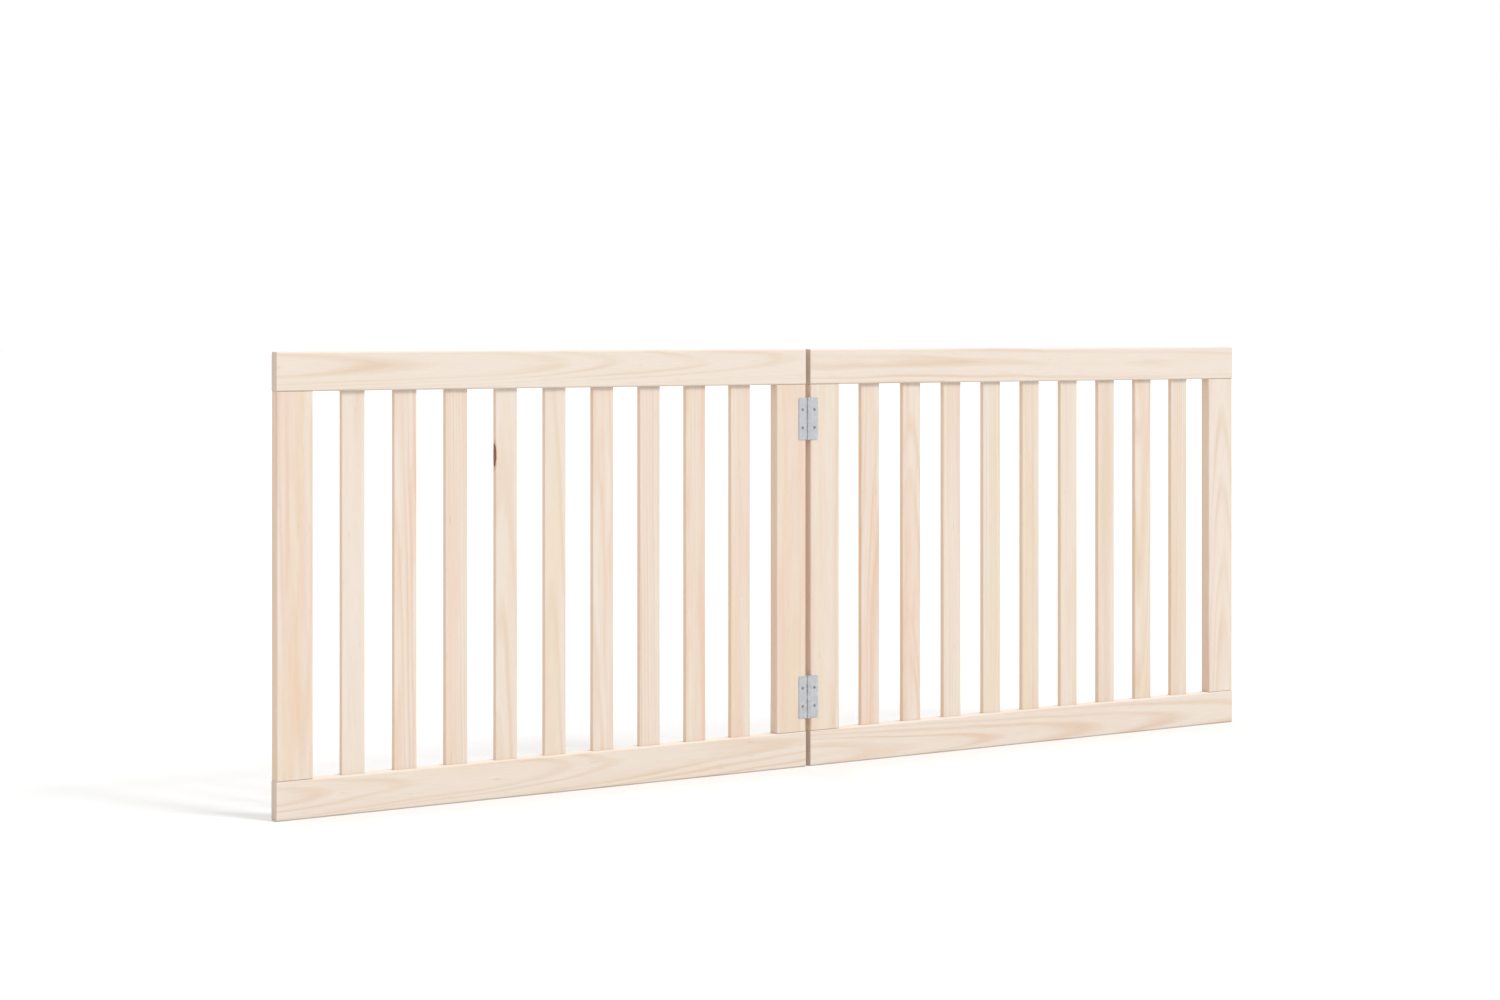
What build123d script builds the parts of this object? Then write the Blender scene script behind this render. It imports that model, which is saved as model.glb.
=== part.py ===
"""Free-standing folding pet gate: two slatted wooden panels on one pair of butt hinges.

Units are millimetres. +X runs along the open gate, -Y is its front and +Z is up. The origin is
on the floor, midway along the open gate and midway through its depth, hinge barrels included.
"""
from build123d import *
import os

os.makedirs("parts", exist_ok=True)

# ---- Panels ----
panel_width = 800.0
gate_height = 600.0
panel_thickness = 18.0
rail_height = 51.0
post_width = 50.0
frame_edge_radius = 2.5     # rounding along the rails and posts
end_chamfer = 0.5           # easing round the sawn ends of the rails and posts

# ---- Slats ----
slat_count = 9
slat_width = 33.0
slat_thickness = 8.0
slat_edge_radius = 2.0
slat_tenon = 14.0           # how far each slat end sits inside its rail
glue_clearance = 0.1        # between a slat and the walls of its mortise

# ---- Dowels between the posts and the rails ----
dowel_diameter = 8.0
dowel_length = 40.0
dowel_spacing = 24.0
dowel_chamfer = 0.8
dowel_clearance = 0.05      # on the radius of a dowel hole
dowel_end_gap = 1.0         # spare depth for glue in the post's dowel hole

# ---- Hinges ----
panel_gap = 7.5             # between the two panels' edges with the gate open flat
hinge_inset = 100.0         # from the gate's top or bottom edge to the middle of a hinge
hinge_length = 60.0
leaf_width = 16.0           # from the hinge axis to the leaf's outer edge
leaf_thickness = 0.9
leaf_corner_radius = 1.5
leaf_clearance = 0.4        # between the two leaves with the gate folded
knuckle_count = 5
knuckle_gap = 0.3
knuckle_notch_gap = 0.5     # between a knuckle and the notched edge of the other leaf
pin_diameter = 3.0
pin_clearance = 0.05        # on the radius of a knuckle's bore
pin_head_diameter = 4.2
pin_head_height = 0.8
pin_head_edge_radius = 0.5

# ---- Hinge screws ----
screws_per_leaf = 2
screw_spacing = 26.0
screw_offset = 10.0         # from the hinge axis
screw_diameter = 3.0
screw_length = 14.0
screw_tip_length = 3.0
pilot_clearance = 0.05      # on the radius of a screw's hole in the wood
pilot_end_gap = 1.0
recess_length = 2.4
recess_width = 0.6
recess_depth = 0.7

# ---- Sizes that follow from those above ----
opening_height = gate_height - 2 * rail_height
slat_gap = (panel_width - 2 * post_width - slat_count * slat_width) / (slat_count + 1)
slat_pitch = slat_width + slat_gap
folded_gap = 2 * leaf_thickness + leaf_clearance
knuckle_radius = pin_diameter / 2 + pin_clearance + leaf_thickness
knuckle_length = (hinge_length - (knuckle_count - 1) * knuckle_gap) / knuckle_count
notch_edge = knuckle_radius + knuckle_notch_gap
screw_head_diameter = screw_diameter + 2 * leaf_thickness    # a 90 degree head, flush with the leaf

barrel_proud = folded_gap / 2 + knuckle_radius               # barrel in front of the wood
gate_depth = panel_thickness + barrel_proud
face_y = -gate_depth / 2 + barrel_proud                      # the panels' front faces
middle_y = face_y + panel_thickness / 2
axis_y = face_y - folded_gap / 2                             # the hinge axis

rail_top_z = gate_height - rail_height                       # underside of the top rail
hinge_heights = {"upper": gate_height - hinge_inset, "lower": hinge_inset}
panel_left_edges = {"left": -panel_gap / 2 - panel_width, "right": panel_gap / 2}
hinge_sides = {"left": -1, "right": 1}                       # the side of the axis each panel is on


def finish(piece, label):
    """Name a finished piece and write it to its own file."""
    piece.part.label = label
    export_step(piece.part, f"parts/{label}.step")


def slat_centres(left_edge):
    """X of every slat's middle in the panel that starts at left_edge."""
    first = left_edge + post_width + slat_gap + slat_width / 2
    return [first + i * slat_pitch for i in range(slat_count)]


def post_centres(left_edge):
    """X of the two posts' middles in the panel that starts at left_edge."""
    return [left_edge + post_width / 2, left_edge + panel_width - post_width / 2]


def dowel_centres(post_x):
    """X of the dowels in the end of the post whose middle is at post_x."""
    return [post_x - dowel_spacing / 2, post_x + dowel_spacing / 2]


def make_rail(label, left_edge, bottom_z, joint_z, inward):
    """A rail over the panel's full width.

    joint_z is the height of the face that the posts and slats meet, and inward is +1 or -1,
    the direction along Z from that face into the rail.
    """
    with BuildPart() as rail:
        with BuildSketch(Plane.YZ.offset(left_edge)):
            with Locations((middle_y, bottom_z + rail_height / 2)):
                RectangleRounded(panel_thickness, rail_height, frame_edge_radius)
        extrude(amount=panel_width)
        chamfer(rail.faces().filter_by(Axis.X).edges(), end_chamfer)
        with BuildSketch(Plane.XY.offset(joint_z)):
            with Locations(*[(x, middle_y) for x in slat_centres(left_edge)]):
                RectangleRounded(
                    slat_width + 2 * glue_clearance,
                    slat_thickness + 2 * glue_clearance,
                    slat_edge_radius + glue_clearance,
                )
        extrude(amount=inward * slat_tenon, mode=Mode.SUBTRACT)
        with BuildSketch(Plane.XY.offset(joint_z)):
            for post_x in post_centres(left_edge):
                with Locations(*[(x, middle_y) for x in dowel_centres(post_x)]):
                    Circle(dowel_diameter / 2 + dowel_clearance)
        extrude(amount=inward * dowel_length / 2, mode=Mode.SUBTRACT)
    finish(rail, label)


def make_post(label, post_x, hinge_x=None):
    """A post between the two rails. hinge_x is the X of its hinge screws, if it carries hinges."""
    with BuildPart() as post:
        with BuildSketch(Plane.XY.offset(rail_height)):
            with Locations((post_x, middle_y)):
                RectangleRounded(post_width, panel_thickness, frame_edge_radius)
        extrude(amount=opening_height)
        chamfer(post.faces().filter_by(Axis.Z).edges(), end_chamfer)
        for end_z, inward in ((rail_height, 1), (rail_top_z, -1)):
            with BuildSketch(Plane.XY.offset(end_z)):
                with Locations(*[(x, middle_y) for x in dowel_centres(post_x)]):
                    Circle(dowel_diameter / 2 + dowel_clearance)
            extrude(amount=inward * (dowel_length / 2 + dowel_end_gap), mode=Mode.SUBTRACT)
        if hinge_x is not None:
            with BuildSketch(Plane.XZ.offset(-face_y)):
                for height in hinge_heights.values():
                    with Locations(*[(hinge_x, z) for z in screw_heights(height)]):
                        Circle(screw_diameter / 2 + pilot_clearance)
            extrude(amount=-(screw_length - leaf_thickness + pilot_end_gap), mode=Mode.SUBTRACT)
    finish(post, label)


def make_slat(label, slat_x):
    """A slat with both ends housed in the rails."""
    with BuildPart() as slat:
        with BuildSketch(Plane.XY.offset(rail_height - slat_tenon)):
            with Locations((slat_x, middle_y)):
                RectangleRounded(slat_width, slat_thickness, slat_edge_radius)
        extrude(amount=opening_height + 2 * slat_tenon)
    finish(slat, label)


def make_dowels(label, left_edge):
    """All the dowels of one panel, each half in a post and half in a rail."""
    with BuildPart() as dowels:
        for joint_z in (rail_height, rail_top_z):
            with BuildSketch(Plane.XY.offset(joint_z - dowel_length / 2)):
                for post_x in post_centres(left_edge):
                    with Locations(*[(x, middle_y) for x in dowel_centres(post_x)]):
                        Circle(dowel_diameter / 2)
            extrude(amount=dowel_length)
        chamfer(dowels.faces().filter_by(Axis.Z).edges(), dowel_chamfer)
    finish(dowels, label)


def screw_heights(hinge_z):
    """Z of each screw of a leaf whose middle is at hinge_z."""
    first = hinge_z - (screws_per_leaf - 1) * screw_spacing / 2
    return [first + i * screw_spacing for i in range(screws_per_leaf)]


def make_leaf(label, side, hinge_z, first_knuckle):
    """A hinge leaf on a panel's front face, with every second knuckle of the barrel.

    side is -1 for the leaf to the left of the axis and +1 for the one to its right.
    """
    hinge_bottom = hinge_z - hinge_length / 2
    knuckle_heights = [
        hinge_bottom + i * (knuckle_length + knuckle_gap) + knuckle_length / 2
        for i in range(first_knuckle, knuckle_count, 2)
    ]
    plate_width = leaf_width - notch_edge
    with BuildPart() as leaf:
        with BuildSketch(Plane.XZ.offset(-face_y)) as outline:
            with Locations((side * (notch_edge + plate_width / 2), hinge_z)):
                Rectangle(plate_width, hinge_length)
            outer_corners = outline.vertices().group_by(Axis.X)[-1 if side > 0 else 0]
            fillet(outer_corners, leaf_corner_radius)
            with Locations(*[(side * notch_edge / 2, z) for z in knuckle_heights]):
                Rectangle(notch_edge, knuckle_length)
        extrude(amount=leaf_thickness)
        for z in knuckle_heights:
            with BuildSketch(Plane.XY.offset(z - knuckle_length / 2)):
                with Locations((0, axis_y)):
                    Circle(knuckle_radius)
            extrude(amount=knuckle_length)
        with BuildSketch(Plane.XY.offset(hinge_bottom)):
            with Locations((0, axis_y)):
                Circle(pin_diameter / 2 + pin_clearance)
        extrude(amount=hinge_length, mode=Mode.SUBTRACT)
        leaf_front = Plane.XZ.offset(leaf_thickness - face_y)
        with Locations(*[leaf_front * Location((side * screw_offset, z)) for z in screw_heights(hinge_z)]):
            CounterSinkHole(screw_diameter / 2, screw_head_diameter / 2, counter_sink_angle=90)
    finish(leaf, label)


def make_pin(label, hinge_z):
    """A hinge pin with a low head on each end, which keeps it in the barrel."""
    half_length = hinge_length / 2
    with BuildPart() as pin:
        with BuildSketch(Plane.XY.offset(hinge_z - half_length)):
            with Locations((0, axis_y)):
                Circle(pin_diameter / 2)
        extrude(amount=hinge_length)
        for end, outward in ((hinge_z - half_length, -1), (hinge_z + half_length, 1)):
            with BuildSketch(Plane.XY.offset(end)):
                with Locations((0, axis_y)):
                    Circle(pin_head_diameter / 2)
            extrude(amount=outward * pin_head_height)
        ends = pin.faces().filter_by(Axis.Z).sort_by(Axis.Z)
        fillet(ends[0].edges() + ends[-1].edges(), pin_head_edge_radius)
    finish(pin, label)


def make_screws(label, side, hinge_z):
    """The countersunk cross-head screws of one leaf, heads flush with the leaf."""
    head_y = face_y - leaf_thickness
    head_radius = screw_head_diameter / 2
    shank_radius = screw_diameter / 2
    screw_x = side * screw_offset
    with BuildPart() as screws:
        for z in screw_heights(hinge_z):
            with BuildSketch(Plane.XY.offset(z)):
                with BuildLine():
                    Polyline(
                        (screw_x, head_y),
                        (screw_x + head_radius, head_y),
                        (screw_x + shank_radius, face_y),
                        (screw_x + shank_radius, head_y + screw_length - screw_tip_length),
                        (screw_x, head_y + screw_length),
                        close=True,
                    )
                make_face()
            revolve(axis=Axis((screw_x, 0, z), (0, 1, 0)))
        with BuildSketch(Plane.XZ.offset(-head_y)):
            with Locations(*[(screw_x, z) for z in screw_heights(hinge_z)]):
                Rectangle(recess_length, recess_width)
                Rectangle(recess_width, recess_length)
        extrude(amount=-recess_depth, mode=Mode.SUBTRACT)
    finish(screws, label)


for panel, panel_left in panel_left_edges.items():
    make_rail(f"{panel}_top_rail", panel_left, rail_top_z, rail_top_z, 1)
    make_rail(f"{panel}_bottom_rail", panel_left, 0, rail_height, -1)
    first_post, second_post = post_centres(panel_left)
    hinge_post, outer_post = (second_post, first_post) if panel == "left" else (first_post, second_post)
    make_post(f"{panel}_hinge_post", hinge_post, hinge_sides[panel] * screw_offset)
    make_post(f"{panel}_outer_post", outer_post)
    for number, slat_x in enumerate(slat_centres(panel_left), start=1):
        make_slat(f"{panel}_slat_{number}", slat_x)
    make_dowels(f"{panel}_dowels", panel_left)

for hinge, height in hinge_heights.items():
    make_leaf(f"{hinge}_hinge_fixed_leaf", hinge_sides["left"], height, 0)
    make_leaf(f"{hinge}_hinge_moving_leaf", hinge_sides["right"], height, 1)
    make_pin(f"{hinge}_hinge_pin", height)
    make_screws(f"{hinge}_fixed_leaf_screws", hinge_sides["left"], height)
    make_screws(f"{hinge}_moving_leaf_screws", hinge_sides["right"], height)
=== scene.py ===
"""Looks for the folding pet gate: pale unfinished pine boards and bright zinc-plated hinges.

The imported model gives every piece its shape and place. This script dresses the pieces, lights
them in a plain white studio and sets the camera. Lengths are metres unless a name says mm.
"""
import logging
import math
import random
from dataclasses import dataclass, field
from enum import Enum
from typing import Any

import bpy
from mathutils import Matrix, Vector


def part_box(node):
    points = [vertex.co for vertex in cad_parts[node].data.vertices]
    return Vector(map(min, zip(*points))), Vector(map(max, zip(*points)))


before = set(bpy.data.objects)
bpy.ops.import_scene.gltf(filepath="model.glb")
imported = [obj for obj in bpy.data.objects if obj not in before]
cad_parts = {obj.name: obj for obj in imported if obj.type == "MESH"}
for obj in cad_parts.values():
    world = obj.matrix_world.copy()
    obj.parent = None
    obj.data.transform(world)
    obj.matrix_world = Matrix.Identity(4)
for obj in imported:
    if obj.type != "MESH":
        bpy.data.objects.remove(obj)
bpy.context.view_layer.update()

log = logging.getLogger("pet_gate")

MM_PER_M = 1000.0

# Nearly all of a noise's values lie between the first two of these, about the third.
NOISE_LOW = 0.3
NOISE_HIGH = 0.7
NOISE_MIDDLE = 0.5

# The Mix node's colour sockets: it also has hidden ones of the same names for numbers and vectors.
MIX_SHARE = 0
MIX_UNDER = 6
MIX_OVER = 7
MIX_RESULT = 2


# ---------------------------------------------------------------------------------------------
# Small helpers
# ---------------------------------------------------------------------------------------------


def linear(hex_colour: str) -> tuple[float, float, float, float]:
    """Turn an sRGB hex colour into linear red, green, blue and an alpha of one.

    Args:
        hex_colour: Six hex digits, such as "EBDCCB".

    Returns:
        The linear colour as Blender's sockets take it.
    """
    channels = (int(hex_colour[i:i + 2], 16) / 255 for i in (0, 2, 4))
    red, green, blue = (c / 12.92 if c <= 0.04045 else ((c + 0.055) / 1.055) ** 2.4 for c in channels)
    return red, green, blue, 1.0


def add_node(
    tree: bpy.types.NodeTree,
    kind: str,
    settings: dict[str, Any] | None = None,
    inputs: dict[str | int, Any] | None = None,
    stops: tuple[tuple[float, float], ...] = (),
) -> bpy.types.Node:
    """Add one node, with its settings and with its inputs set or linked.

    Args:
        tree: The node tree that the node joins.
        kind: The node's type name without "ShaderNode".
        settings: Properties of the node.
        inputs: Socket name or number, and either a value for it or the socket to link from.
        stops: Positions and grey levels along the node's ramp, in order, if it has one.

    Returns:
        The new node.
    """
    node = tree.nodes.new("ShaderNode" + kind)
    for name, value in (settings or {}).items():
        setattr(node, name, value)
    for socket, value in (inputs or {}).items():
        if isinstance(value, bpy.types.NodeSocket):
            tree.links.new(value, node.inputs[socket])
        else:
            node.inputs[socket].default_value = value
    if stops:
        ramp = node.color_ramp
        ramp.interpolation = "EASE"
        while len(ramp.elements) < len(stops):
            ramp.elements.new(1.0)
        for element, (position, grey) in zip(ramp.elements, stops):
            element.position = position
            element.color = (grey, grey, grey, 1.0)
    return node


def new_material(name: str) -> tuple[bpy.types.Material, bpy.types.NodeTree, bpy.types.Node]:
    """Make a material with an empty Principled shader.

    Args:
        name: The material's name.

    Returns:
        The material, its node tree and its Principled node.
    """
    material = bpy.data.materials.new(name)
    material.use_nodes = True
    tree = material.node_tree
    return material, tree, tree.nodes["Principled BSDF"]


def dress(node_name: str, material: bpy.types.Material) -> None:
    """Put one material on every slot of a CAD piece.

    Args:
        node_name: The CAD node.
        material: Its new finish.
    """
    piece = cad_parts[node_name]
    if not piece.material_slots:
        piece.data.materials.append(material)
    for piece_slot in piece.material_slots:
        piece_slot.material = material
    log.info("%s: %s", node_name, material.name)


# ---------------------------------------------------------------------------------------------
# Wood
# ---------------------------------------------------------------------------------------------


class Grain(Enum):
    """The direction that a board's grain runs, as the turn about Y that brings Z onto it."""

    UPRIGHT = 0.0
    LENGTHWAYS = math.pi / 2


class Side(Enum):
    """A pair of a board's faces, as the axes they look along in an upright and in a lengthways board."""

    EDGE = ((1.0, 0.0, 0.0), (0.0, 0.0, 1.0))
    END = ((0.0, 0.0, 1.0), (1.0, 0.0, 0.0))

    def axis(self, grain: Grain) -> tuple[float, float, float]:
        """Give the axis that these faces look along, for a board's grain."""
        upright, lengthways = self.value
        return upright if grain is Grain.UPRIGHT else lengthways


class Pattern(Enum):
    """Where each pattern in the wood starts in the noise, so that no two of them lie on each other."""

    WANDER = 0.0
    RING_STRENGTH = 3.0
    FIBRES = 9.0
    BLUSH = 21.0
    HONEY = 33.0
    AMBER = 39.0
    FLECKS = 47.0
    KNOT_EDGE = 61.0


@dataclass(frozen=True)
class Knot:
    """A knot in a board, in millimetres from the board's middle.

    The first two numbers of each field run across the board and through it, the third along it.
    """

    centre_mm: tuple[float, float, float]
    radii_mm: tuple[float, float, float]


@dataclass(frozen=True)
class Cut:
    """How one board was sawn from the tree, and how its wood is tinted.

    The pith's place is across and through the board from its middle, and its lean is how far it
    strays each way for its length. Each tint is given as the strongest that it gets.
    """

    centre: Vector
    grain: Grain
    pith_mm: tuple[float, float]
    lean: tuple[float, float]
    ring_mm: float
    blush: float
    honey: float
    amber: float
    # How much warm painted bounce light shows on the board's narrow edges.
    painted_bounce_share: float
    shift: float
    knots: tuple[Knot, ...] = ()


@dataclass(frozen=True)
class PineFinish:
    """Scots pine, planed and fine sanded, with nothing put on it.

    Young sapwood: nearly white earlywood, soft tan latewood lines, pinkish and honey patches.
    Bare wood scatters light widely, so it looks matt. Its rings lie close together on a board's
    narrow edges, and its open pores darken the sawn ends. The narrow edges also get a warm tint of
    painted bounce light, which stands for the glow that neighbouring lit boards throw onto them.
    """

    name: str = "sanded_pine"
    earlywood: str = "CABFB4"
    latewood: str = "BB9E82"
    blush: str = "C8AFA0"
    honey: str = "C6B79D"
    amber: str = "C69D7F"
    # Painted bounce light: a warm tint on the narrow edges for the glow that neighbouring lit boards throw
    # onto them.
    painted_bounce_tint: str = "DDBB9F"
    end_grain: str = "B89F8D"
    knot_heart: str = "8C573C"
    knot_bark: str = "553323"
    knot_rim: str = "BD8E69"
    fleck: str = "A58B74"
    ior: float = 1.5
    rough_earlywood: float = 0.72
    rough_latewood: float = 0.58

    # How much latewood there is along one year's growth, from its start at 0 to its end at 1.
    ring_profile: tuple[tuple[float, float], ...] = (
        (0.0, 0.55), (0.12, 0.04), (0.5, 0.12), (0.86, 1.0), (1.0, 0.55),
    )
    # Rings vary in width by up to this many years' growth, in runs of about so many like years.
    ring_unevenness: float = 2.0
    years_alike: float = 2.2
    weakest_ring: float = 0.25
    grain_contrast: float = 0.6

    # How far the rings stray from true circles, each way, and over what lengths.
    wander_mm: tuple[float, float, float] = (5.0, 3.0, 0.0)
    wander_patch_mm: tuple[float, float, float] = (60.0, 60.0, 340.0)

    # Where in the noise a tint or a fleck starts, and where it is full.
    tint_onset: tuple[float, float] = (0.4, 0.68)
    tint_patch_mm: tuple[float, float, float] = (24.0, 24.0, 420.0)
    streak_patch_mm: tuple[float, float, float] = (13.0, 13.0, 190.0)
    fleck_onset: tuple[float, float] = (0.8, 0.9)
    fleck_strength: float = 0.35
    fleck_mm: tuple[float, float, float] = (2.2, 2.2, 20.0)

    # Real fibres are about 0.03 mm thick and 3 mm long: they are drawn as coarse as they need to show.
    fibre_mm: tuple[float, float, float] = (0.7, 0.7, 26.0)
    fibre_light: tuple[float, float] = (0.955, 1.02)

    # How high the fibres stand against the latewood, and how high both stand in all.
    fibre_height: float = 0.6
    bump_strength: float = 0.5
    bump_mm: float = 0.12

    # How squarely a surface has to look along an axis to be one of the faces sawn that way.
    facing_onset: tuple[float, float] = (0.6, 0.9)
    end_darkening: float = 0.4

    # How much of a colour shows along a knot's zone: 0 is its middle, 1 is knot_reach times its radii.
    knot_reach: float = 2.0
    knot_rim_zone: tuple[tuple[float, float], ...] = ((0.0, 0.8), (0.55, 0.8), (1.0, 0.0))
    knot_heart_zone: tuple[tuple[float, float], ...] = ((0.0, 1.0), (0.54, 1.0), (0.62, 0.0))
    knot_bark_zone: tuple[tuple[float, float], ...] = ((0.44, 0.0), (0.52, 0.9), (0.58, 0.8), (0.64, 0.0))

    # Half of one of a knot's own rings, how dark it gets and how far the knot's edge strays, in its radii.
    knot_ring: float = 0.09
    knot_ring_contrast: float = 0.35
    knot_raggedness: float = 0.35
    knot_ragged_mm: tuple[float, float, float] = (2.0, 2.0, 5.0)

    # Patches of noise: how rough their edges are, and the way that a shift moves them.
    patch_roughness: float = 0.55
    shift_path: tuple[float, float, float] = (1.0, 2.3, 5.1)

    def patches(self, tree: bpy.types.NodeTree, place: bpy.types.NodeSocket,
                size_mm: tuple[float, float, float], shift: float, detail: float) -> bpy.types.Node:
        """Lay soft patches of a given size through the wood.

        Args:
            tree: The material's node tree.
            place: The point in the board, in millimetres.
            size_mm: The size of a patch across, through and along the board.
            shift: Moves the patches, so that no two boards are alike.
            detail: How many finer layers of patches there are.

        Returns:
            The node that has the patches.
        """
        scaled = add_node(tree, "Mapping", {"vector_type": "POINT"}, {
            "Vector": place,
            "Location": tuple(shift * step for step in self.shift_path),
            "Scale": tuple(1 / mm for mm in size_mm),
        })
        return add_node(tree, "TexNoise", {"noise_dimensions": "3D"}, {
            "Vector": scaled.outputs["Vector"],
            "Scale": 1.0,
            "Detail": detail,
            "Roughness": self.patch_roughness,
        })

    def material(self, name: str, cut: Cut) -> bpy.types.Material:
        """Make the finish of one board.

        Args:
            name: The board's name.
            cut: How the board was sawn.

        Returns:
            The board's material.
        """
        material, tree, shader = new_material(f"{self.name}.{name}")
        coordinates = add_node(tree, "TexCoord")
        in_board = add_node(tree, "Mapping", {"vector_type": "TEXTURE"}, {
            "Vector": coordinates.outputs["Object"],
            "Location": tuple(cut.centre),
            "Rotation": (0.0, cut.grain.value, 0.0),
        })
        place = add_node(tree, "VectorMath", {"operation": "SCALE"}, {
            0: in_board.outputs["Vector"], "Scale": MM_PER_M,
        }).outputs["Vector"]

        late = self.rings(tree, place, cut)
        colour = self.sawn_colour(tree, place, late, cut)
        # Painted bounce light: a warm tint on the narrow edges for the glow that neighbouring boards throw
        # onto them.
        if cut.painted_bounce_share:
            colour = self.tint_faces(tree, coordinates, colour, Side.EDGE.axis(cut.grain), cut.painted_bounce_share,
                                     self.painted_bounce_tint)
        for knot in cut.knots:
            colour = self.grow_knot(tree, place, colour, knot)
        colour = self.tint_faces(tree, coordinates, colour, Side.END.axis(cut.grain), self.end_darkening,
                                 self.end_grain)
        fibre_shift = cut.shift + Pattern.FIBRES.value
        fibres = self.patches(tree, place, self.fibre_mm, fibre_shift, detail=2.0).outputs["Fac"]
        tree.links.new(self.streak(tree, colour, fibres), shader.inputs["Base Color"])

        roughness = add_node(tree, "MapRange", {}, {
            "Value": late, "To Min": self.rough_earlywood, "To Max": self.rough_latewood,
        })
        tree.links.new(roughness.outputs["Result"], shader.inputs["Roughness"])
        height = add_node(tree, "Math", {"operation": "MULTIPLY_ADD"}, {
            0: fibres, 1: self.fibre_height, 2: late,
        })
        bump = add_node(tree, "Bump", {}, {
            "Strength": self.bump_strength,
            "Distance": self.bump_mm / MM_PER_M,
            "Height": height.outputs["Value"],
        })
        tree.links.new(bump.outputs["Normal"], shader.inputs["Normal"])
        shader.inputs["IOR"].default_value = self.ior
        shader.inputs["Metallic"].default_value = 0.0
        return material

    def rings(self, tree: bpy.types.NodeTree, place: bpy.types.NodeSocket, cut: Cut) -> bpy.types.NodeSocket:
        """Draw the growth rings: zero in earlywood, rising to one in each ring's latewood.

        Args:
            tree: The material's node tree.
            place: The point in the board, in millimetres.
            cut: How the board was sawn.

        Returns:
            The latewood amount.
        """
        wander_shift = cut.shift + Pattern.WANDER.value
        drift = self.patches(tree, place, self.wander_patch_mm, wander_shift, detail=2.0)
        centred = add_node(tree, "VectorMath", {"operation": "SUBTRACT"}, {
            0: drift.outputs["Color"], 1: 3 * (NOISE_MIDDLE,),
        })
        # The noise now runs to a half either way, so it takes twice the straying.
        wandered = add_node(tree, "VectorMath", {"operation": "MULTIPLY_ADD"}, {
            0: centred.outputs["Vector"], 1: tuple(2 * mm for mm in self.wander_mm), 2: place,
        })
        pith_across, pith_through = cut.pith_mm
        lean_across, lean_through = cut.lean
        in_log = add_node(tree, "Mapping", {"vector_type": "TEXTURE"}, {
            "Vector": wandered.outputs["Vector"],
            "Location": (pith_across, pith_through, 0.0),
            "Rotation": (math.atan(lean_through), math.atan(lean_across), 0.0),
        })
        flat = add_node(tree, "VectorMath", {"operation": "MULTIPLY"}, {
            0: in_log.outputs["Vector"], 1: (1.0, 1.0, 0.0),
        })
        radius = add_node(tree, "VectorMath", {"operation": "LENGTH"}, {0: flat.outputs["Vector"]})
        years = add_node(tree, "Math", {"operation": "DIVIDE"}, {0: radius.outputs["Value"], 1: cut.ring_mm})
        uneven = add_node(tree, "TexNoise", {"noise_dimensions": "1D"}, {
            "W": years.outputs["Value"], "Scale": 1 / self.years_alike, "Detail": 1.0,
        })
        phase = add_node(tree, "Math", {"operation": "MULTIPLY_ADD"}, {
            0: uneven.outputs["Fac"], 1: self.ring_unevenness, 2: years.outputs["Value"],
        })
        year = add_node(tree, "Math", {"operation": "FRACT"}, {0: phase.outputs["Value"]})
        profile = add_node(tree, "ValToRGB", {}, {"Fac": year.outputs["Value"]}, self.ring_profile)
        fade_shift = cut.shift + Pattern.RING_STRENGTH.value
        faded = self.patches(tree, place, self.tint_patch_mm, fade_shift, detail=1.0)
        strength = add_node(tree, "MapRange", {}, {
            "Value": faded.outputs["Fac"],
            "From Min": NOISE_LOW,
            "From Max": NOISE_HIGH,
            "To Min": self.weakest_ring,
            "To Max": 1.0,
        })
        return add_node(tree, "Math", {"operation": "MULTIPLY"}, {
            0: profile.outputs["Color"], 1: strength.outputs["Result"],
        }).outputs["Value"]

    def tint(self, tree: bpy.types.NodeTree, place: bpy.types.NodeSocket, colour: bpy.types.NodeSocket,
             amount: float, hex_colour: str, shift: float,
             size_mm: tuple[float, float, float]) -> bpy.types.NodeSocket:
        """Tint the wood in long soft patches.

        Args:
            tree: The material's node tree.
            place: The point in the board, in millimetres.
            colour: The colour so far.
            amount: The strongest that the tint gets.
            hex_colour: The tint.
            shift: Moves the patches.
            size_mm: The size of a patch across, through and along the board.

        Returns:
            The tinted colour.
        """
        start, full = self.tint_onset
        patches = self.patches(tree, place, size_mm, shift, detail=2.0)
        share = add_node(tree, "MapRange", {"interpolation_type": "SMOOTHSTEP"}, {
            "Value": patches.outputs["Fac"], "From Min": start, "From Max": full, "To Max": amount,
        })
        return add_node(tree, "Mix", {"data_type": "RGBA"}, {
            MIX_SHARE: share.outputs["Result"], MIX_UNDER: colour, MIX_OVER: linear(hex_colour),
        }).outputs[MIX_RESULT]

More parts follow.
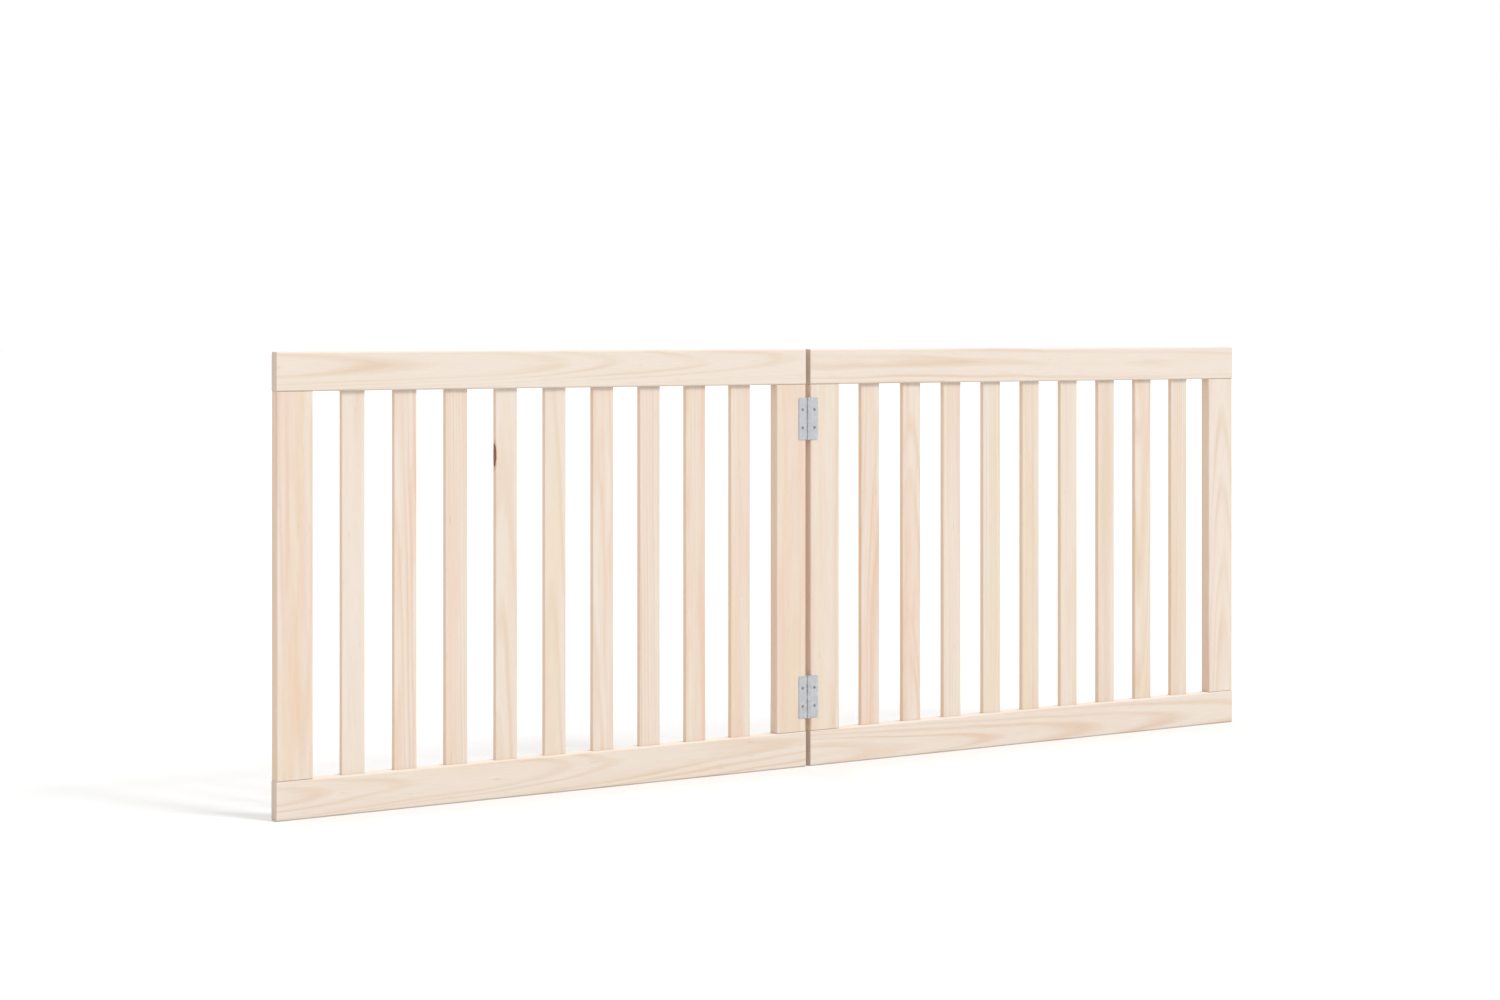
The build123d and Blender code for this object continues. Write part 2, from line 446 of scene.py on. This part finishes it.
    def sawn_colour(self, tree: bpy.types.NodeTree, place: bpy.types.NodeSocket, late: bpy.types.NodeSocket,
                    cut: Cut) -> bpy.types.NodeSocket:
        """Colour the wood by its rings, its tinted patches and its resin flecks.

        Args:
            tree: The material's node tree.
            place: The point in the board, in millimetres.
            late: The latewood amount.
            cut: How the board was sawn.

        Returns:
            The colour of the wood.
        """
        ringed = add_node(tree, "Math", {"operation": "MULTIPLY"}, {0: late, 1: self.grain_contrast})
        colour = add_node(tree, "Mix", {"data_type": "RGBA"}, {
            MIX_SHARE: ringed.outputs["Value"],
            MIX_UNDER: linear(self.earlywood),
            MIX_OVER: linear(self.latewood),
        }).outputs[MIX_RESULT]
        for hex_colour, amount, size_mm, pattern in (
            (self.blush, cut.blush, self.tint_patch_mm, Pattern.BLUSH),
            (self.honey, cut.honey, self.tint_patch_mm, Pattern.HONEY),
            (self.amber, cut.amber, self.streak_patch_mm, Pattern.AMBER),
        ):
            colour = self.tint(tree, place, colour, amount, hex_colour, cut.shift + pattern.value, size_mm)
        start, full = self.fleck_onset
        fleck_shift = cut.shift + Pattern.FLECKS.value
        flecks = self.patches(tree, place, self.fleck_mm, fleck_shift, detail=0.0)
        share = add_node(tree, "MapRange", {}, {
            "Value": flecks.outputs["Fac"],
            "From Min": start,
            "From Max": full,
            "To Max": self.fleck_strength,
        })
        return add_node(tree, "Mix", {"data_type": "RGBA"}, {
            MIX_SHARE: share.outputs["Result"], MIX_UNDER: colour, MIX_OVER: linear(self.fleck),
        }).outputs[MIX_RESULT]

    def streak(self, tree: bpy.types.NodeTree, colour: bpy.types.NodeSocket,
               fibres: bpy.types.NodeSocket) -> bpy.types.NodeSocket:
        """Lighten and darken the colour a little with the fibres.

        Args:
            tree: The material's node tree.
            colour: The colour so far.
            fibres: The fibre noise.

        Returns:
            The streaked colour.
        """
        darkest, lightest = self.fibre_light
        level = add_node(tree, "MapRange", {}, {
            "Value": fibres,
            "From Min": NOISE_LOW,
            "From Max": NOISE_HIGH,
            "To Min": darkest,
            "To Max": lightest,
        })
        grey = add_node(tree, "CombineXYZ", {}, {i: level.outputs["Result"] for i in range(3)})
        return add_node(tree, "Mix", {"data_type": "RGBA", "blend_type": "MULTIPLY"}, {
            MIX_SHARE: 1.0, MIX_UNDER: colour, MIX_OVER: grey.outputs["Vector"],
        }).outputs[MIX_RESULT]

    def grow_knot(self, tree: bpy.types.NodeTree, place: bpy.types.NodeSocket,
                  colour: bpy.types.NodeSocket, knot: Knot) -> bpy.types.NodeSocket:
        """Draw a knot: an amber rim, a thin dark ring of bark and a brown heart with rings of its own.

        Args:
            tree: The material's node tree.
            place: The point in the board, in millimetres.
            colour: The colour so far.
            knot: The knot.

        Returns:
            The colour with the knot in it.
        """
        away = add_node(tree, "VectorMath", {"operation": "SUBTRACT"}, {0: place, 1: knot.centre_mm})
        shaped = add_node(tree, "VectorMath", {"operation": "DIVIDE"}, {
            0: away.outputs["Vector"], 1: knot.radii_mm,
        })
        distance = add_node(tree, "VectorMath", {"operation": "LENGTH"}, {0: shaped.outputs["Vector"]})
        ragged = self.patches(tree, place, self.knot_ragged_mm, Pattern.KNOT_EDGE.value, detail=2.0)
        edge = add_node(tree, "Math", {"operation": "MULTIPLY_ADD"}, {
            0: ragged.outputs["Fac"], 1: self.knot_raggedness, 2: distance.outputs["Value"],
        }).outputs["Value"]
        years = add_node(tree, "Math", {"operation": "PINGPONG"}, {0: edge, 1: self.knot_ring})
        ringed = add_node(tree, "MapRange", {}, {
            "Value": years.outputs["Value"], "From Max": self.knot_ring, "To Max": self.knot_ring_contrast,
        })
        heart_colour = add_node(tree, "Mix", {"data_type": "RGBA"}, {
            MIX_SHARE: ringed.outputs["Result"],
            MIX_UNDER: linear(self.knot_heart),
            MIX_OVER: linear(self.knot_bark),
        }).outputs[MIX_RESULT]
        along_zone = add_node(tree, "Math", {"operation": "DIVIDE"}, {0: edge, 1: self.knot_reach})
        for shade, zone in (
            (linear(self.knot_rim), self.knot_rim_zone),
            (heart_colour, self.knot_heart_zone),
            (linear(self.knot_bark), self.knot_bark_zone),
        ):
            share = add_node(tree, "ValToRGB", {}, {"Fac": along_zone.outputs["Value"]}, zone)
            colour = add_node(tree, "Mix", {"data_type": "RGBA"}, {
                MIX_SHARE: share.outputs["Color"], MIX_UNDER: colour, MIX_OVER: shade,
            }).outputs[MIX_RESULT]
        return colour

    def tint_faces(self, tree: bpy.types.NodeTree, coordinates: bpy.types.Node, colour: bpy.types.NodeSocket,
                   axis: tuple[float, float, float], amount: float, hex_colour: str) -> bpy.types.NodeSocket:
        """Tint the faces that look along one axis. It darkens the sawn ends, and it lays warm painted bounce
        light on the narrow edges.

        Args:
            tree: The material's node tree.
            coordinates: The texture coordinate node, for the surface's own direction.
            colour: The colour so far.
            axis: The direction that those faces look along, either way.
            amount: How much of the tint shows on them.
            hex_colour: The tint.

        Returns:
            The tinted colour.
        """
        start, full = self.facing_onset
        facing = add_node(tree, "VectorMath", {"operation": "DOT_PRODUCT"}, {
            0: coordinates.outputs["Normal"], 1: axis,
        })
        either_way = add_node(tree, "Math", {"operation": "ABSOLUTE"}, {0: facing.outputs["Value"]})
        share = add_node(tree, "MapRange", {"interpolation_type": "SMOOTHSTEP"}, {
            "Value": either_way.outputs["Value"], "From Min": start, "From Max": full, "To Max": amount,
        })
        return add_node(tree, "Mix", {"data_type": "RGBA"}, {
            MIX_SHARE: share.outputs["Result"], MIX_UNDER: colour, MIX_OVER: linear(hex_colour),
        }).outputs[MIX_RESULT]


@dataclass(frozen=True)
class BeechFinish(PineFinish):
    """Turned beech dowel: closer and pinker than pine, with short flecks and faint rings."""

    name: str = "turned_beech"
    earlywood: str = "C9A183"
    latewood: str = "B58A69"
    blush: str = "C4977A"
    honey: str = "C9A57C"
    amber: str = "BE9270"
    # Painted bounce light for the dowels' narrow edges, as on the pine.
    painted_bounce_tint: str = "BE9474"
    end_grain: str = "A37C5E"
    grain_contrast: float = 0.35
    fleck_mm: tuple[float, float, float] = (0.5, 0.5, 2.5)


# ---------------------------------------------------------------------------------------------
# Metal
# ---------------------------------------------------------------------------------------------


@dataclass(frozen=True)
class ZincFinish:
    """Mild steel strip, stamped, rolled and bright zinc plated.

    The plating is a cool silver that is neither mirror nor matt: soft blotches in its polish,
    and fine lines from the rolled strip under it.
    """

    name: str
    silver: str = "C9CCCF"
    shade: str = "A9ACB2"
    roughness: tuple[float, float] = (0.26, 0.42)
    blotch_mm: float = 6.0
    blotch_detail: float = 3.0

    # The strip's rolled lines are a few hundredths of a millimetre wide: they are drawn coarser, to show.
    line_mm: tuple[float, float, float] = (0.25, 0.25, 14.0)
    line_detail: float = 1.0
    bump_strength: float = 0.35
    bump_mm: float = 0.02

    def material(self) -> bpy.types.Material:
        """Make the finish.

        Returns:
            The metal's material.
        """
        material, tree, shader = new_material(self.name)
        coordinates = add_node(tree, "TexCoord")
        place = add_node(tree, "VectorMath", {"operation": "SCALE"}, {
            0: coordinates.outputs["Object"], "Scale": MM_PER_M,
        }).outputs["Vector"]
        blotches = add_node(tree, "TexNoise", {"noise_dimensions": "3D"}, {
            "Vector": place, "Scale": 1 / self.blotch_mm, "Detail": self.blotch_detail,
        })
        scaled = add_node(tree, "VectorMath", {"operation": "DIVIDE"}, {0: place, 1: self.line_mm})
        lines = add_node(tree, "TexNoise", {"noise_dimensions": "3D"}, {
            "Vector": scaled.outputs["Vector"], "Scale": 1.0, "Detail": self.line_detail,
        })
        colour = add_node(tree, "Mix", {"data_type": "RGBA"}, {
            MIX_SHARE: blotches.outputs["Fac"],
            MIX_UNDER: linear(self.silver),
            MIX_OVER: linear(self.shade),
        })
        tree.links.new(colour.outputs[MIX_RESULT], shader.inputs["Base Color"])
        smoothest, roughest = self.roughness
        polish = add_node(tree, "MapRange", {}, {
            "Value": blotches.outputs["Fac"],
            "From Min": NOISE_LOW,
            "From Max": NOISE_HIGH,
            "To Min": smoothest,
            "To Max": roughest,
        })
        tree.links.new(polish.outputs["Result"], shader.inputs["Roughness"])
        bump = add_node(tree, "Bump", {}, {
            "Strength": self.bump_strength,
            "Distance": self.bump_mm / MM_PER_M,
            "Height": lines.outputs["Fac"],
        })
        tree.links.new(bump.outputs["Normal"], shader.inputs["Normal"])
        shader.inputs["Metallic"].default_value = 1.0
        return material


# ---------------------------------------------------------------------------------------------
# The gate
# ---------------------------------------------------------------------------------------------


@dataclass(frozen=True)
class Timber:
    """The stock that the boards are sawn from: the least and the most of what varies in it."""

    pith_beside_mm: tuple[float, float] = (55.0, 110.0)
    pith_off_middle_mm: tuple[float, float] = (-12.0, 12.0)
    pith_off_centre_mm: tuple[float, float] = (-16.0, 16.0)
    pith_behind_mm: tuple[float, float] = (28.0, 60.0)
    lean_across: tuple[float, float] = (-0.012, 0.012)
    lean_through: tuple[float, float] = (-0.03, 0.03)
    ring_mm: tuple[float, float] = (3.2, 5.2)
    blush: tuple[float, float] = (0.1, 0.75)
    honey: tuple[float, float] = (0.1, 0.6)
    amber: tuple[float, float] = (0.0, 0.38)
    pattern_shift: tuple[float, float] = (0.0, 100.0)

    def pith(self, chance: random.Random, quarter_sawn: bool) -> tuple[float, float]:
        """Choose where the tree's pith lay, across and through a board.

        Args:
            chance: The panel's run of random numbers.
            quarter_sawn: True for a pith beside the board, False for one behind it.

        Returns:
            The pith's place, in millimetres from the board's middle.
        """
        if quarter_sawn:
            return (chance.choice((-1, 1)) * chance.uniform(*self.pith_beside_mm),
                    chance.uniform(*self.pith_off_middle_mm))
        return chance.uniform(*self.pith_off_centre_mm), chance.uniform(*self.pith_behind_mm)


@dataclass
class SlattedPanel:
    """One panel of the gate: two rails, two posts, nine slats and the dowels inside them."""

    side: str
    seed: int
    slat_count: int = 9

    # The share of slats with straight lines on their faces, and how much of a tint the rails show.
    quarter_sawn_share: float = 0.6
    rail_vividness: float = 0.22
    # How much warm painted bounce light shows on the narrow edges of the slats and of the posts.
    slat_painted_bounce_share: float = 0.75
    post_painted_bounce_share: float = 0.4
    timber: Timber = field(default_factory=Timber)
    pine: PineFinish = field(default_factory=PineFinish)
    beech: BeechFinish = field(default_factory=BeechFinish)
    slat_knots: dict[int, tuple[Knot, ...]] = field(default_factory=dict)
    chosen_amber: dict[str, float] = field(default_factory=dict)

    def __post_init__(self) -> None:
        """Start the panel's own run of random numbers."""
        self.chance = random.Random(self.seed)

    def cut(self, node_name: str, grain: Grain, quarter_sawn: bool, painted_bounce_share: float = 0.0,
            knots: tuple[Knot, ...] = ()) -> Cut:
        """Choose how a board was sawn.

        Args:
            node_name: The board's CAD node.
            grain: The direction of its grain.
            quarter_sawn: True for straight lines on its face, False for long arches.
            painted_bounce_share: How much warm painted bounce light shows on its narrow edges.
            knots: The knots in it.

        Returns:
            The cut.
        """
        low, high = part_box(node_name)
        timber = self.timber
        vividness = self.rail_vividness if grain is Grain.LENGTHWAYS else 1.0
        return Cut(
            centre=(low + high) / 2,
            grain=grain,
            pith_mm=timber.pith(self.chance, quarter_sawn),
            lean=(self.chance.uniform(*timber.lean_across), self.chance.uniform(*timber.lean_through)),
            ring_mm=self.chance.uniform(*timber.ring_mm),
            blush=vividness * self.chance.uniform(*timber.blush),
            honey=vividness * self.chance.uniform(*timber.honey),
            amber=self.chosen_amber.get(node_name, vividness * self.chance.uniform(*timber.amber)),
            painted_bounce_share=painted_bounce_share,
            shift=self.chance.uniform(*timber.pattern_shift),
            knots=knots,
        )

    def dress_board(self, part: str, grain: Grain, quarter_sawn: bool, painted_bounce_share: float = 0.0,
                    knots: tuple[Knot, ...] = ()) -> None:
        """Give one board its own piece of pine.

        Args:
            part: The board's name within the panel.
            grain: The direction of its grain.
            quarter_sawn: True for straight lines on its face, False for long arches.
            painted_bounce_share: How much warm painted bounce light shows on its narrow edges.
            knots: The knots in it.
        """
        node_name = f"{self.side}_{part}"
        cut = self.cut(node_name, grain, quarter_sawn, painted_bounce_share, knots)
        dress(node_name, self.pine.material(node_name, cut))

    def build(self) -> None:
        """Dress every piece of the panel."""
        for part in ("top_rail", "bottom_rail"):
            self.dress_board(part, Grain.LENGTHWAYS, quarter_sawn=False)
        for part in ("outer_post", "hinge_post"):
            self.dress_board(part, Grain.UPRIGHT, quarter_sawn=False, painted_bounce_share=self.post_painted_bounce_share)
        for number in range(1, self.slat_count + 1):
            quarter_sawn = self.chance.random() < self.quarter_sawn_share
            self.dress_board(f"slat_{number}", Grain.UPRIGHT, quarter_sawn, self.slat_painted_bounce_share,
                             self.slat_knots.get(number, ()))
        dowels = f"{self.side}_dowels"
        dress(dowels, self.beech.material(dowels, self.cut(dowels, Grain.UPRIGHT, quarter_sawn=False)))


@dataclass
class ButtHinge:
    """One hinge: two leaves, the pin through their knuckles and the screws that hold them."""

    place: str
    leaf_finish: ZincFinish = field(default_factory=lambda: ZincFinish("zinc_plated_strip"))
    screw_finish: ZincFinish = field(
        default_factory=lambda: ZincFinish(
            "zinc_plated_screw", silver="A6A7AB", shade="7F8085", blotch_mm=2.0,
        )
    )

    def build(self) -> None:
        """Dress every piece of the hinge."""
        plated = self.leaf_finish.material()
        for part in ("hinge_fixed_leaf", "hinge_moving_leaf", "hinge_pin"):
            dress(f"{self.place}_{part}", plated)
        screws = self.screw_finish.material()
        for part in ("fixed_leaf_screws", "moving_leaf_screws"):
            dress(f"{self.place}_{part}", screws)


# ---------------------------------------------------------------------------------------------
# The studio
# ---------------------------------------------------------------------------------------------


@dataclass(frozen=True)
class Lamp:
    """A far lamp, which lights everything from one direction, with a broad face for soft shadows.

    Its distance only keeps it clear of the gate: the light is the same from anywhere on its way.
    """

    name: str
    direction: tuple[float, float, float]
    strength: float
    width_deg: float
    distance: float = 4.0

    def hang(self) -> None:
        """Hang the lamp, aimed at the middle of the floor."""
        lamp = bpy.data.lights.new(self.name, "SUN")
        lamp.energy = self.strength
        lamp.angle = math.radians(self.width_deg)
        hung = bpy.data.objects.new(self.name, lamp)
        hung.location = Vector(self.direction) * self.distance
        hung.rotation_euler = (-hung.location).to_track_quat("-Z", "Y").to_euler()
        bpy.context.scene.collection.objects.link(hung)


@dataclass
class Studio:
    """A plain white studio: a pale floor, even light all round, a key lamp and a softer back lamp."""

    # The floor reaches far enough to meet the white surround unseen.
    floor_half_width: float = 60.0
    floor_colour: str = "D6D6D5"
    floor_roughness: float = 0.9
    surround_colour: str = "FFFFFF"
    surround_strength: float = 1.0
    lamps: tuple[Lamp, ...] = (
        Lamp("key_lamp", direction=(0.42, -0.57, 0.71), strength=2.4, width_deg=20.0),
        Lamp("back_lamp", direction=(0.10, 0.80, 0.59), strength=1.0, width_deg=40.0),
    )

    def build(self) -> None:
        """Make the floor, the surround and the lamps."""
        self.lay_floor()
        self.light_surround()
        for lamp in self.lamps:
            lamp.hang()

    def lay_floor(self) -> None:
        """Lay a wide pale floor under the gate."""
        half = self.floor_half_width
        mesh = bpy.data.meshes.new("studio_floor")
        corners = [(-half, -half, 0), (half, -half, 0), (half, half, 0), (-half, half, 0)]
        mesh.from_pydata(corners, [], [(0, 1, 2, 3)])
        floor = bpy.data.objects.new("studio_floor", mesh)
        bpy.context.scene.collection.objects.link(floor)
        material, _, shader = new_material("pale_floor")
        shader.inputs["Base Color"].default_value = linear(self.floor_colour)
        shader.inputs["Roughness"].default_value = self.floor_roughness
        mesh.materials.append(material)

    def light_surround(self) -> None:
        """Surround the gate with even white light."""
        world = bpy.data.worlds.new("white_surround")
        world.use_nodes = True
        background = world.node_tree.nodes["Background"]
        background.inputs["Color"].default_value = linear(self.surround_colour)
        background.inputs["Strength"].default_value = self.surround_strength
        bpy.context.scene.world = world


@dataclass
class GateCamera:
    """A level camera left of the gate, just above its top, with the frame shifted down onto it."""

    place: tuple[float, float, float] = (-1.97685, -3.1190, 0.6313)
    turn_right_deg: float = 31.125
    lens_mm: float = 61.5144
    sensor_mm: float = 36.0
    shift_down: float = 0.1151333
    sight: float = 200.0

    def build(self) -> None:
        """Make the camera and use it."""
        lens = bpy.data.cameras.new("gate_camera")
        lens.sensor_width = self.sensor_mm
        lens.lens = self.lens_mm
        lens.shift_y = -self.shift_down
        lens.clip_end = self.sight
        camera = bpy.data.objects.new("gate_camera", lens)
        camera.location = self.place
        camera.rotation_euler = (math.pi / 2, 0.0, -math.radians(self.turn_right_deg))
        bpy.context.scene.collection.objects.link(camera)
        bpy.context.scene.camera = camera


def main() -> None:
    """Dress the gate, light it and set the camera."""
    logging.basicConfig(level=logging.INFO, format="%(name)s: %(message)s")
    side_knot = Knot(centre_mm=(-16.3, -1.2, 160.0), radii_mm=(2.2, 3.4, 15.0))
    chosen_amber = {
        "left_top_rail": 0.0,
        "left_outer_post": 0.3,
        "left_slat_4": 0.05,
        "left_slat_5": 0.08,
        "left_slat_6": 0.35,
        "left_slat_9": 0.1,
    }
    SlattedPanel("left", seed=4, slat_knots={4: (side_knot,)}, chosen_amber=chosen_amber).build()
    SlattedPanel("right", seed=11).build()
    for place in ("upper", "lower"):
        ButtHinge(place).build()
    Studio().build()
    GateCamera().build()
    bpy.context.scene.view_settings.view_transform = "Standard"


if __name__ == "__main__":
    main()
